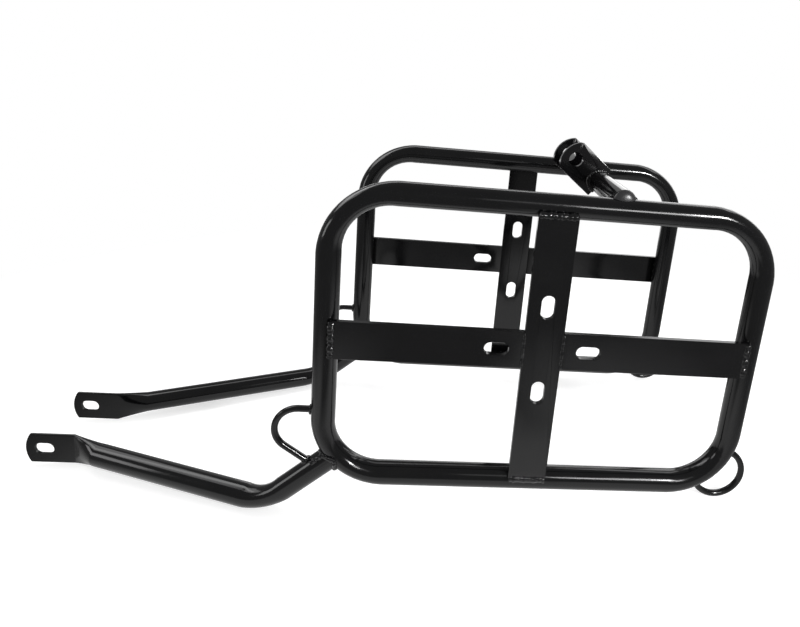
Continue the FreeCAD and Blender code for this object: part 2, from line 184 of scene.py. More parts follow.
def joined(name: str, objects: list[bpy.types.Object]) -> bpy.types.Object:
    """One object that holds the shells of several.

    Args:
        name: Name of the result.
        objects: Objects whose meshes stand where they belong.

    Returns:
        The new object; the others are removed.
    """
    vertices: list[np.ndarray] = []
    faces: list[tuple[int, ...]] = []
    start = 0
    for obj in objects:
        mesh = obj.data
        places = np.empty(len(mesh.vertices) * 3)
        mesh.vertices.foreach_get("co", places)
        vertices.append(places.reshape(-1, 3))
        faces += [tuple(start + i for i in polygon.vertices) for polygon in mesh.polygons]
        start += len(mesh.vertices)
        bpy.data.objects.remove(obj)
        bpy.data.meshes.remove(mesh)
    result = bpy.data.meshes.new(name)
    result.from_pydata(np.concatenate(vertices).tolist(), [], faces)
    result.polygons.foreach_set("use_smooth", np.ones(len(faces), dtype=bool))
    result.update()
    return link_object(name, result)


# Finishes

@dataclass(frozen=True)
class BlackPaint:
    """Gloss black enamel sprayed on steel.

    The paint mirrors lamps as crisp lines. A faint orange peel makes the
    lines waver, and patches of thinner paint are a little less sharp.
    """

    name: str = "gloss_black_enamel"
    colour: str = "#050506"
    dusty_colour: str = "#0c0c0d"
    roughness_low: float = 0.10
    roughness_high: float = 0.17
    peel_mm: float = 3.2
    peel_height_mm: float = 0.010
    grain_mm: float = 0.5
    grain_height_mm: float = 0.0012
    patch_mm: float = 38.0
    patch_low: float = 0.35
    patch_high: float = 0.68
    ior: float = 1.5

    def build(self) -> bpy.types.Material:
        """Make the material.

        A slow noise spreads the roughness and the colour between their two
        values, and two finer noises raise the surface one over the other.

        Returns:
            Material with orange peel, fine grain and patches of sharpness.
        """
        material = empty_material(self.name)
        tree = material.node_tree
        place = add_node(tree, "ShaderNodeTexCoord").outputs["Object"]
        patches = add_node(tree, "ShaderNodeTexNoise", {
            "Vector": place, "Scale": 1 / (self.patch_mm * MM), "Detail": 4.0})
        roughness = add_node(tree, "ShaderNodeMapRange", {
            "Value": patches.outputs["Fac"], "From Min": self.patch_low, "From Max": self.patch_high,
            "To Min": self.roughness_low, "To Max": self.roughness_high})
        colour = add_node(tree, "ShaderNodeMix", {
            "Factor": patches.outputs["Fac"], 6: linear(self.colour),
            7: linear(self.dusty_colour)}, data_type="RGBA")
        peel = add_node(tree, "ShaderNodeTexNoise", {
            "Vector": place, "Scale": 1 / (self.peel_mm * MM), "Detail": 1.0})
        grain = add_node(tree, "ShaderNodeTexNoise", {
            "Vector": place, "Scale": 1 / (self.grain_mm * MM), "Detail": 2.0})
        bump = add_node(tree, "ShaderNodeBump", {
            "Height": peel.outputs["Fac"], "Strength": 1.0, "Distance": self.peel_height_mm * MM})
        fine = add_node(tree, "ShaderNodeBump", {
            "Height": grain.outputs["Fac"], "Strength": 1.0,
            "Distance": self.grain_height_mm * MM, "Normal": bump.outputs["Normal"]})
        shader = add_node(tree, "ShaderNodeBsdfPrincipled", {
            "Base Color": colour.outputs[2], "Roughness": roughness.outputs["Result"],
            "Normal": fine.outputs["Normal"], "IOR": self.ior})
        add_node(tree, "ShaderNodeOutputMaterial", {"Surface": shader.outputs["BSDF"]})
        return material


@dataclass(frozen=True)
class PaintedWeld(BlackPaint):
    """The same enamel over a weld bead, thick in its valleys and glossy on its crests."""

    name: str = "gloss_black_enamel_on_weld"
    roughness_low: float = 0.05
    roughness_high: float = 0.13
    peel_mm: float = 2.2
    peel_height_mm: float = 0.45
    patch_mm: float = 6.0
    ior: float = 1.55


@dataclass(frozen=True)
class PlugPlasticAndPaintedReflection:
    """Dark grey plastic of the plugs that close the cross tube, partly painted reflection: its grey,
    lighter than the paint, stands in for pale light mirrored on the tube's end.
    """

    name: str = "plug_plastic_and_painted_reflection"
    # Painted reflection in part: this grey, lighter than the black paint, stands in for the pale light
    # mirrored on the tube's end.
    colour: str = "#2c2c2d"
    roughness: float = 0.30
    ior: float = 1.5

    def build(self) -> bpy.types.Material:
        """Make the material, which has one colour and one roughness all over."""
        material = empty_material(self.name)
        tree = material.node_tree
        shader = add_node(tree, "ShaderNodeBsdfPrincipled", {
            "Base Color": linear(self.colour), "Roughness": self.roughness, "IOR": self.ior})
        add_node(tree, "ShaderNodeOutputMaterial", {"Surface": shader.outputs["BSDF"]})
        return material


# Lines on which the pieces meet

@dataclass(frozen=True)
class StraightTube:
    """Straight round tube."""

    start: np.ndarray
    heading: np.ndarray
    radius: float

    def distance(self, points: np.ndarray) -> np.ndarray:
        """Distance of points from the surface, negative inside."""
        offset = points - self.start
        along = (offset @ self.heading)[..., None] * self.heading
        return np.linalg.norm(offset - along, axis=-1) - self.radius

    def skin(self, angle: np.ndarray, travel: np.ndarray) -> np.ndarray:
        """Points on the surface at an angle round it and a travel along it."""
        side = np.array([0.0, 1.0, 0.0]) if abs(self.heading[1]) < 0.5 else np.array([1.0, 0.0, 0.0])
        across = np.cross(self.heading, side)
        ring = np.cos(angle)[..., None] * side + np.sin(angle)[..., None] * across
        return self.start + travel[..., None] * self.heading + self.radius * ring

    def outward(self, points: np.ndarray) -> np.ndarray:
        """Directions away from the axis at points."""
        offset = points - self.start
        return unit(offset - (offset @ self.heading)[..., None] * self.heading)


@dataclass(frozen=True)
class BentTube:
    """Tube bent round a centre in an XZ plane, oval where it is bent."""

    centre: np.ndarray
    bend_radius: float
    radius: float
    flattening: float = 0.0

    def distance(self, points: np.ndarray) -> np.ndarray:
        """Distance of points from the oval surface, negative inside."""
        offset = points - self.centre
        reach = np.hypot(offset[..., 0], offset[..., 2]) - self.bend_radius
        oval = np.hypot(reach / (self.radius - self.flattening), offset[..., 1] / self.radius)
        return (oval - 1) * self.radius

    def skin(self, angle: np.ndarray, travel: np.ndarray) -> np.ndarray:
        """Points on the surface at an angle round it and an angle of travel along it."""
        spoke = np.stack([np.cos(travel), np.zeros_like(travel), np.sin(travel)], axis=-1)
        reach = self.bend_radius + self.radius * np.cos(angle)[..., None]
        lift = np.stack([np.zeros_like(angle), self.radius * np.sin(angle), np.zeros_like(angle)], axis=-1)
        return self.centre + spoke * reach + lift

    def outward(self, points: np.ndarray) -> np.ndarray:
        """Directions away from the bent axis at points."""
        offset = points - self.centre
        flat = offset * np.array([1.0, 0.0, 1.0])
        return unit(offset - unit(flat) * self.bend_radius)


Tube = StraightTube | BentTube


def meeting_line(rod: Tube, carrier: Tube, angles: np.ndarray, outside: float, inside: float) -> np.ndarray:
    """Line on which a rod enters its carrier.

    At each angle round the rod, the stretch of travel that holds the place
    where the distance from the carrier is nought is halved again and again.

    Args:
        rod: Tube that ends on the carrier.
        carrier: Tube that it ends on.
        angles: Angles round the rod.
        outside: Travel along the rod that is clear of the carrier.
        inside: Travel along the rod that is within the carrier.

    Returns:
        Points of the line, one for each angle.
    """
    clear = np.full_like(angles, outside)
    within = np.full_like(angles, inside)
    for _ in range(HALVINGS):
        middle = (clear + within) / 2
        outer = carrier.distance(rod.skin(angles, middle)) > 0
        clear = np.where(outer, middle, clear)
        within = np.where(outer, within, middle)
    return rod.skin(angles, within)


@dataclass(frozen=True)
class BeadForm:
    """How a bead of weld looks: its size, its ripples and its lumps."""

    radius: float
    ripple_pitch: float = 2.3 * MM
    ripple_depth: float = 0.13
    lump_pitch: float = 7.0 * MM
    lump_depth: float = 0.16
    proud: float = 0.1
    end_length: float = 2.2 * MM
    seed: float = 0.0
    lead: float = 0.55
    points_round: int = 20
    rings_per_ripple: int = 9
    fewest_rings: int = 24


def bead_surface(name: str, path: np.ndarray, facing: np.ndarray, form: BeadForm,
                 loop: bool) -> bpy.types.Object:
    """Bead of weld along a path.

    The radius at a place along the path and an angle round it is the plain
    radius times one plus ripples plus lumps. A ripple is the root of the
    size of a sine, so its crests are round and its valleys sharp, and it
    leads in the middle of the bead. Lumps are three slow sines of one, two
    and three turns. An open bead shrinks to a point over its end length.

    Args:
        name: Name of the object.
        path: Points along the line on which two pieces meet.
        facing: Direction in which the bead bulges at each point.
        form: Size and look of the bead.
        loop: Whether the path is closed.

    Returns:
        The bead's object.
    """
    closed = np.concatenate([path, path[:1]]) if loop else path
    steps = np.linalg.norm(np.diff(closed, axis=0), axis=1)
    mark = np.concatenate([[0.0], np.cumsum(steps)])
    total = mark[-1]
    rings = max(int(total / (form.ripple_pitch / form.rings_per_ripple)), form.fewest_rings)
    share = np.linspace(0, total, rings, endpoint=not loop)
    closed_facing = np.concatenate([facing, facing[:1]]) if loop else facing
    spine = np.stack([np.interp(share, mark, closed[:, i]) for i in range(3)], axis=-1)
    bulge = np.stack([np.interp(share, mark, closed_facing[:, i]) for i in range(3)], axis=-1)
    if loop:
        tangent = unit(np.roll(spine, -1, axis=0) - np.roll(spine, 1, axis=0))
        share_of_turn = 2 * np.pi * share / total
    else:
        tangent = unit(np.gradient(spine, axis=0))
        share_of_turn = share / form.lump_pitch
    bulge = unit(bulge - np.sum(bulge * tangent, axis=1)[:, None] * tangent)
    across = np.cross(tangent, bulge)
    angle = np.linspace(0, 2 * np.pi, form.points_round, endpoint=False)[None, :]
    waves = max(round(total / form.ripple_pitch), 3)
    phase = np.pi * waves * share[:, None] / total + form.lead * np.cos(angle) + form.seed
    ripple = np.sqrt(np.abs(np.sin(phase) + 0.02)) - 0.75
    turns = max(round(total / form.lump_pitch), 2) if loop else 1
    slow = share_of_turn[:, None] * turns + form.seed
    lumps = 0.5 * np.sin(slow + 1.3) + 0.3 * np.sin(slow * 2 + angle + 2.1 * form.seed)
    lumps = lumps + 0.25 * np.sin(slow * 3 - 2 * angle + form.seed)
    radius = form.radius * (1 + form.ripple_depth * ripple + form.lump_depth * lumps)
    if not loop:
        near_end = np.minimum(share, total - share) / form.end_length
        taper = np.sqrt(np.clip(1 - (1 - np.clip(near_end, 0, 1)) ** 2, 0.0009, 1))
        radius = radius * taper[:, None]
    ring = np.cos(angle)[..., None] * bulge[:, None, :] + np.sin(angle)[..., None] * across[:, None, :]
    centre = spine + bulge * (form.radius * form.proud)
    return grid_object(name, centre[:, None, :] + radius[..., None] * ring, loop)


# Sub-assemblies

@dataclass
class RackPlan:
    """Places of the rack's pieces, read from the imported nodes, in metres."""

    tube_radius: float = 10.65 * MM
    rod_radius: float = 3.0 * MM
    corner_radius: float = 55.0 * MM
    bend_flattening: float = 1.25 * MM
    leg_rise: float = math.radians(40.25)
    tail_drop: float = math.radians(36.0)
    front_ring_radius: float = 21.0 * MM
    rear_ring_radius: float = 24.0 * MM
    fork_tilt: float = math.radians(38.6)
    centre: np.ndarray = field(init=False)
    half_length: float = field(init=False)
    half_height: float = field(init=False)

    def __post_init__(self) -> None:
        """Read the middle and the half sizes of a side frame's centre line."""
        low, high = box_of("right_frame")
        self.centre = (low + high) / 2
        self.half_length = (high[0] - low[0]) / 2 - self.tube_radius
        self.half_height = (high[2] - low[2]) / 2 - self.tube_radius

    def side_y(self, side: Side) -> float:
        """Y of a side frame's centre line."""
        return side.value * float(self.centre[1])

    def at(self, side: Side, x: float, z: float) -> np.ndarray:
        """Point in a side frame's plane, counted from its centre."""
        return np.array([self.centre[0] + x, self.side_y(side), self.centre[2] + z])

    def corner(self, side: Side, x_sign: int, z_sign: int) -> BentTube:
        """Bent corner of a side frame.

        Args:
            side: Side of the rack.
            x_sign: One for the rear corners and minus one for the front ones.
            z_sign: One for the top corners and minus one for the bottom ones.

        Returns:
            The corner, whose centre lies one bend radius within both rails.
        """
        centre = self.at(side, x_sign * (self.half_length - self.corner_radius),
                         z_sign * (self.half_height - self.corner_radius))
        return BentTube(centre, self.corner_radius, self.tube_radius, self.bend_flattening)

    def front_rail(self, side: Side) -> StraightTube:
        """Upright front rail of a side frame."""
        return StraightTube(self.at(side, -self.half_length, 0), UP, self.tube_radius)

    def top_rail(self, side: Side) -> StraightTube:
        """Level top rail of a side frame."""
        return StraightTube(self.at(side, 0, self.half_height), np.array([1.0, 0.0, 0.0]), self.tube_radius)

    def leg(self, side: Side) -> StraightTube:
        """Rising part of a leg, counted from where it meets its corner."""
        corner = self.corner(side, -1, -1)
        rising = np.array([math.cos(self.leg_rise), 0.0, math.sin(self.leg_rise)])
        return StraightTube(corner.centre - rising * self.corner_radius, -rising, self.tube_radius)

    def cross_tube(self, side: Side) -> StraightTube:
        """Cross tube, with travel counted from the middle to a side."""
        low, high = box_of("cross_tube")
        start = np.array([(low[0] + high[0]) / 2, 0.0, (low[2] + high[2]) / 2])
        return StraightTube(start, np.array([0.0, float(side.value), 0.0]), self.tube_radius)

    def front_ring_centre(self, side: Side) -> np.ndarray:
        """Centre of a front ring's arc."""
        low, high = box_of(side.node("front_ring"))
        return np.array([low[0] + self.rod_radius + self.front_ring_radius, self.side_y(side),
                         high[2] - self.rod_radius - self.front_ring_radius])

    def rear_ring(self, side: Side) -> BentTube:
        """Rod of a rear ring."""
        low, high = box_of(side.node("rear_ring"))
        centre = np.array([high[0] - self.rod_radius - self.rear_ring_radius, self.side_y(side),
                           low[2] + self.rod_radius + self.rear_ring_radius])
        return BentTube(centre, self.rear_ring_radius, self.rod_radius)


def dress_cad_node(node: str, material: bpy.types.Material, edge_mm: float = 0.0) -> None:
    """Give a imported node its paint, smooth shading and eased edges.

    Args:
        node: Name of the node.
        material: Paint of the node.
        edge_mm: Width of the eased edges, or nought for none.
    """
    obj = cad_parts[node]
    obj.modifiers.new("weld", "WELD").merge_threshold = MERGE_DISTANCE
    if edge_mm:
        bevel = obj.modifiers.new("eased_edges", "BEVEL")
        bevel.width = edge_mm * MM
        bevel.segments = 1
        bevel.limit_method = "ANGLE"
        bevel.angle_limit = EASED_ANGLE
    smooth = obj.modifiers.new("smooth", "NODES")
    smooth.node_group = smooth_group()
    obj.data.materials.clear()
    obj.data.materials.append(material)
    LOG.info("dressed %s", node)


def smooth_group() -> bpy.types.NodeTree:
    """Geometry nodes that shade faces smooth and keep edges over the smooth angle sharp."""
    name = "smooth_by_angle"
    if name in bpy.data.node_groups:
        return bpy.data.node_groups[name]
    tree = bpy.data.node_groups.new(name, "GeometryNodeTree")
    tree.interface.new_socket("Geometry", in_out="INPUT", socket_type="NodeSocketGeometry")
    tree.interface.new_socket("Geometry", in_out="OUTPUT", socket_type="NodeSocketGeometry")
    source = add_node(tree, "NodeGroupInput")
    faces = add_node(tree, "GeometryNodeSetShadeSmooth", {
        "Geometry": source.outputs[0], "Shade Smooth": True}, domain="FACE")
    angle = add_node(tree, "GeometryNodeInputMeshEdgeAngle")
    sharp = add_node(tree, "FunctionNodeCompare", {
        0: angle.outputs[0], 1: SMOOTH_ANGLE}, data_type="FLOAT", operation="GREATER_THAN")
    edges = add_node(tree, "GeometryNodeSetShadeSmooth", {
        "Geometry": faces.outputs[0], "Selection": sharp.outputs[0], "Shade Smooth": False}, domain="EDGE")
    add_node(tree, "NodeGroupOutput", {0: edges.outputs[0]})
    return tree


@dataclass
class PaintedSteel:
    """Tubes, rods, bars and plates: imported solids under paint."""

    paint: BlackPaint = field(default_factory=BlackPaint)
    round_parts: tuple[str, ...] = ("frame", "leg", "front_ring", "rear_ring")
    flat_parts: tuple[str, ...] = ("upright_bar", "front_cross_bar", "rear_cross_bar", "fork_plate")
    edge_mm: float = 0.45

    def build(self) -> None:
        """Dress every packed steel piece."""
        material = self.paint.build()
        for side in Side:
            for part in self.round_parts:
                dress_cad_node(side.node(part), material)
            for part in self.flat_parts:
                dress_cad_node(side.node(part), material, self.edge_mm)
        dress_cad_node("cross_tube", material)


@dataclass
class Welds:
    """Beads of weld on all the joints of the rack, and the cross tube's plugs."""

    plan: RackPlan
    paint: PaintedWeld = field(default_factory=PaintedWeld)
    plug_finish: PlugPlasticAndPaintedReflection = field(default_factory=PlugPlasticAndPaintedReflection)
    bar_bead: float = 3.5 * MM
    bar_bead_depth: float = 6.4 * MM
    bar_bead_lift: float = 1.26 * MM
    seam_bead: float = 1.9 * MM
    tube_bead: float = 2.3 * MM
    rod_bead: float = 1.6 * MM
    tail_run_bead: float = 2.2 * MM
    tail_run_lift: float = 0.85
    tail_run_gap: float = 2.0 * MM
    tail_run_reach: float = 60.0 * MM
    tail_run_steps: int = 121
    fork_bead: float = 2.1 * MM
    fork_bead_reach: float = math.radians(112)
    bar_ripple: float = 3.4 * MM
    bar_lump: float = 1.5 * MM
    seam_lump: float = 2.0 * MM
    seam_inset: float = 0.5 * MM
    tail_lump: float = 1.6 * MM
    rear_ring_ends: tuple[float, float] = (math.radians(-150), math.radians(75))
    cross_bead_inset: float = 0.02
    plug_depth: float = 5.0 * MM
    plug_share: float = 0.97
    plug_lift: float = math.radians(86)
    plug_rings: int = 14
    plug_points: int = 48
    round_steps: int = 160
    straight_steps: int = 60

    def build(self) -> None:
        """Make the beads and the plug of each side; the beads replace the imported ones."""
        material = self.paint.build()
        plug_look = self.plug_finish.build()
        for side in Side:
            made = {"bar_welds": self.bar_welds(side), "leg_weld": self.leg_weld(side),
                    "ring_welds": self.ring_welds(side), "cross_tube_weld": self.cross_tube_weld(side),
                    "fork_weld": self.fork_weld(side)}
            for part, beads in made.items():
                name = side.node(f"{part}_beads")
                obj = joined(name, beads)
                obj.data.materials.append(material)
                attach(obj, BODY)
                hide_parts(side.node(part))
                LOG.info("made %s with %d faces", name, len(obj.data.polygons))
            plug = self.plug(side)
            plug.data.materials.append(plug_look)
            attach(plug, BODY)

    def straight_bead(self, name: str, start: np.ndarray, end: np.ndarray,
                      facing: np.ndarray, form: BeadForm) -> bpy.types.Object:
        """Bead along a straight line, bulging in one direction.

        Args:
            name: Name of the object.
            start: One end of the line.
            end: The other end.
            facing: Direction in which the bead bulges.
            form: Size and look of the bead.

        Returns:
            The bead's object.
        """
        share = np.linspace(0, 1, self.straight_steps)[:, None]
        path = start + (end - start) * share
        return bead_surface(name, path, np.tile(facing, (self.straight_steps, 1)), form, False)

    def bar_form(self, seed: float) -> BeadForm:
        """Form of a bead across the end of a bar."""
        return BeadForm(self.bar_bead, ripple_pitch=self.bar_ripple, lump_pitch=self.bar_lump, seed=seed)

    def bar_welds(self, side: Side) -> list[bpy.types.Object]:
        """Beads across the ends of the cross and along its two seams.

        An end bead lies one bead depth within its rail's centre line, and a
        seam bead stands half its size within the bars' outer face.

        Args:
            side: Side of the rack.

        Returns:
            Four end beads and two seams.
        """
        level_low, level_high = box_of(side.node("front_cross_bar"))
        upright_low, upright_high = box_of(side.node("upright_bar"))
        outer = side.value * float(np.abs([upright_low[1], upright_high[1]]).max())
        y = outer - side.value * (self.bar_bead - self.bar_bead_lift)
        seam_y = outer - side.value * 0.5 * self.seam_bead
        outward = side.outward()
        reach_x = self.plan.half_length - self.bar_bead_depth
        reach_z = self.plan.half_height - self.bar_bead_depth
        beads = []
        for index, sign in enumerate((-1, 1)):
            x = self.plan.centre[0] + sign * reach_x
            beads.append(self.straight_bead(
                "end", np.array([x, y, level_low[2]]), np.array([x, y, level_high[2]]),
                outward, self.bar_form(1.7 * index + 0.4)))
            z = self.plan.centre[2] + sign * reach_z
            beads.append(self.straight_bead(
                "end", np.array([upright_low[0], y, z]), np.array([upright_high[0], y, z]),
                outward, self.bar_form(2.3 * index + 3.1)))
            seam_x = (upright_low[0], upright_high[0])[index]
            seam_form = BeadForm(self.seam_bead, lump_pitch=self.seam_lump, seed=0.9 * index + 5.0)
            beads.append(self.straight_bead(
                "seam", np.array([seam_x, seam_y, level_low[2] + self.seam_inset]),
                np.array([seam_x, seam_y, level_high[2] - self.seam_inset]), outward, seam_form))
        return beads

    def bead_round(self, rod: Tube, carrier: Tube, outside: float, inside: float,
                   radius: float, seed: float) -> bpy.types.Object:
        """Closed bead on the line where a rod enters its carrier.

        Args:
            rod: Tube that ends on the carrier.
            carrier: Tube that it ends on.
            outside: Travel along the rod that is clear of the carrier.
            inside: Travel along the rod that is within the carrier.
            radius: Radius of the bead.
            seed: Shift of its ripples and lumps.

        Returns:
            The bead's object, which bulges between the two skins.
        """
        angles = np.linspace(0, 2 * np.pi, self.round_steps, endpoint=False)
        path = meeting_line(rod, carrier, angles, outside, inside)
        facing = unit(rod.outward(path) + carrier.outward(path))
        return bead_surface("round", path, facing, BeadForm(radius, seed=seed), True)

    def leg_weld(self, side: Side) -> list[bpy.types.Object]:
        """Bead round the joint of the leg and the side frame."""
        return [self.bead_round(self.plan.leg(side), self.plan.corner(side, -1, -1),
                                3 * self.plan.tube_radius, 0.0, self.tube_bead, 0.6)]

    def ring_welds(self, side: Side) -> list[bpy.types.Object]:
        """Beads at both ends of both rings, and the run from the front ring's tail.

        The tail of the front ring leaves its arc square to the arc's spoke,
        and reaches the leg's centre line after the gap between them divided
        by the sine of the angle at which they cross.

        Args:
            side: Side of the rack.

        Returns:
            The beads of both rings.
        """
        plan = self.plan
        centre = plan.front_ring_centre(side)
        top = centre + UP * plan.front_ring_radius
        root = StraightTube(top, np.array([1.0, 0.0, 0.0]), plan.rod_radius)
        rail_travel = float(plan.front_rail(side).start[0] - top[0])
        beads = [self.bead_round(root, plan.front_rail(side), 0.0, rail_travel, self.rod_bead, 0.2)]
        tail_heading = np.array([math.cos(plan.tail_drop), 0.0, -math.sin(plan.tail_drop)])
        away = np.array([-math.sin(plan.tail_drop), 0.0, -math.cos(plan.tail_drop)])
        tail = StraightTube(centre + away * plan.front_ring_radius, tail_heading, plan.rod_radius)
        leg = plan.leg(side)
        gap = float(leg.distance(tail.start)) + plan.tube_radius
        slant = float(np.linalg.norm(np.cross(tail_heading, leg.heading)))
        beads.append(self.bead_round(tail, leg, 0.0, gap / slant, self.rod_bead, 1.4))
        beads.append(self.tail_run(side, tail.skin(np.zeros(1), np.full(1, gap / slant))[0]))
        rear = plan.rear_ring(side)
        corner = plan.corner(side, 1, -1)
        middle = sum(self.rear_ring_ends) / 2
        for index, inside in enumerate(self.rear_ring_ends):
            beads.append(self.bead_round(rear, corner, middle, inside, self.rod_bead, 2.2 + index))
        return beads

    def tail_run(self, side: Side, tail_end: np.ndarray) -> bpy.types.Object:
        """Run of weld on the leg, from the ring's tail to the side frame.

        The run lies on the leg's skin at one angle round it, between the
        outer side and the top. It ends at the first step at which the
        distance from the corner is below nought.

        Args:
            side: Side of the rack.
            tail_end: Place where the ring's tail meets the leg.

        Returns:
            The bead's object.
        """
        leg = self.plan.leg(side)
        up = np.cross(leg.heading, np.array([0.0, 1.0, 0.0]))
        up = up * np.sign(up[2])
        facing = side.outward() * math.cos(self.tail_run_lift) + up * math.sin(self.tail_run_lift)
        beside_tail = leg.start + leg.heading * float(np.dot(tail_end - leg.start, leg.heading))
        first = beside_tail + facing * leg.radius
        travel = np.linspace(0, self.tail_run_reach, self.tail_run_steps)
        inside = self.plan.corner(side, -1, -1).distance(first - leg.heading * travel[:, None]) < 0
        start = first - leg.heading * self.tail_run_gap
        end = first - leg.heading * float(travel[inside].min())
        form = BeadForm(self.tail_run_bead, lump_pitch=self.tail_lump, lump_depth=0.3, seed=4.2)
        return self.straight_bead("run", start, end, facing, form)

    def cross_tube_weld(self, side: Side) -> list[bpy.types.Object]:
        """Bead under the cross tube where it meets a top rail.

        The tube and the rail are equally thick, so they meet from below up
        to the angle at which the tube's skin is level with the rail's top.

        Args:
            side: Side of the rack.

        Returns:
            One open bead.
        """
        tube = self.plan.cross_tube(side)
        rail = self.plan.top_rail(side)
        rise = float(tube.start[2] - rail.start[2])
        limit = math.asin((rail.radius - rise) / rail.radius)
        lift = np.linspace(math.pi - limit + self.cross_bead_inset,
                           2 * math.pi + limit - self.cross_bead_inset, self.round_steps)
        angles = lift if side is Side.LEFT else -lift
        path = meeting_line(tube, rail, angles, abs(float(rail.start[1])) - 2 * rail.radius,
                            abs(float(rail.start[1])))
        facing = unit(tube.outward(path) + rail.outward(path))
        return [bead_surface("cross", path, facing, BeadForm(self.tube_bead, seed=0.8), False)]

    def plug(self, side: Side) -> bpy.types.Object:
        """Plug that closes the cross tube's end where it rises over the rail.

        The plug is half an ellipsoid: its rim lies just within the tube's
        skin, and it bulges outwards by its depth.

        Args:
            side: Side of the rack.

        Returns:
            The plug's object.
        """
        tube = self.plan.cross_tube(side)
        end = tube.start + tube.heading * abs(float(self.plan.top_rail(side).start[1]))
        lift = np.linspace(0, self.plug_lift, self.plug_rings)[:, None, None]
        turn = np.linspace(0, 2 * np.pi, self.plug_points, endpoint=False)[None, :, None]
        spoke = np.cos(turn) * UP + np.sin(turn) * np.cross(tube.heading, UP)
        bulge = tube.heading * self.plug_depth * np.sin(lift)
        skin = spoke * tube.radius * self.plug_share * np.cos(lift)
        return grid_object(side.node("cross_tube_plug"), end + skin + bulge, False)

    def fork_weld(self, side: Side) -> list[bpy.types.Object]:
        """Bead round the cross tube on the outer face of a fork plate.

        The bead is an arc about the direction in which the plate points, and
        bulges halfway between the tube's spoke and the outward direction.

        Args:
            side: Side of the rack.

        Returns:
            One open bead.
        """
        low, high = box_of(side.node("fork_plate"))
        tube = self.plan.cross_tube(side)
        outer = float(np.abs([low[1], high[1]]).max())
        pointing = math.pi - self.plan.fork_tilt
        angle = pointing + np.linspace(-self.fork_bead_reach, self.fork_bead_reach, self.round_steps)
        spoke = np.stack([np.cos(angle), np.zeros_like(angle), np.sin(angle)], axis=-1)
        path = tube.start + spoke * tube.radius + side.outward() * outer
        facing = unit(spoke + side.outward())
        return [bead_surface("fork", path, facing, BeadForm(self.fork_bead, seed=1.1), False)]


# Studio

def ramp(tree: bpy.types.NodeTree, value: bpy.types.NodeSocket, ends: tuple[float, float],
         levels: tuple[float, float] = (0.0, 1.0)) -> bpy.types.NodeSocket:
    """Level that follows a value across a stretch.

    It goes evenly from the first level to the second between the two ends
    and stays level outside them.

    Args:
        tree: Node tree that the node goes into.
        value: Socket of the value.
        ends: Values at which the change starts and stops.
        levels: Levels before and after the change.

    Returns:
        Socket of the level.
    """
    node = add_node(tree, "ShaderNodeMapRange", {
        "Value": value, "From Min": ends[0], "From Max": ends[1],
        "To Min": levels[0], "To Max": levels[1]})
    return node.outputs["Result"]


def mirrored_ray(tree: bpy.types.NodeTree, ray: bpy.types.Node) -> bpy.types.NodeSocket:
    """Larger of the flags of a mirrored ray and of one that came through glass."""
    return add_node(tree, "ShaderNodeMath", {
        0: ray.outputs["Is Glossy Ray"], 1: ray.outputs["Is Transmission Ray"]},
        operation="MAXIMUM").outputs[0]


@dataclass(frozen=True)
class Softbox:
    """Soft lamp with an even face, placed by its middle and what it faces."""

    name: str
    place: tuple[float, float, float]
    target: tuple[float, float, float]
    width: float
    height: float
    brightness: float

    def build(self) -> None:
        """Add the lamp; its power is four times its area times its brightness."""
        lamp = bpy.data.lights.new(self.name, "AREA")
        lamp.shape = "RECTANGLE"
        lamp.size = self.width
        lamp.size_y = self.height
        lamp.energy = 4 * self.width * self.height * self.brightness
        obj = bpy.data.objects.new(self.name, lamp)
        bpy.context.scene.collection.objects.link(obj)
        start = np.array(self.place)
        back = unit(start - np.array(self.target))
        right = unit(np.cross(UP, back))
        up = np.cross(back, right)
        matrix = np.eye(4)
        matrix[:3, 0], matrix[:3, 1], matrix[:3, 2], matrix[:3, 3] = right, up, back, start
        obj.matrix_world = Matrix(matrix.tolist())
        obj.visible_camera = False


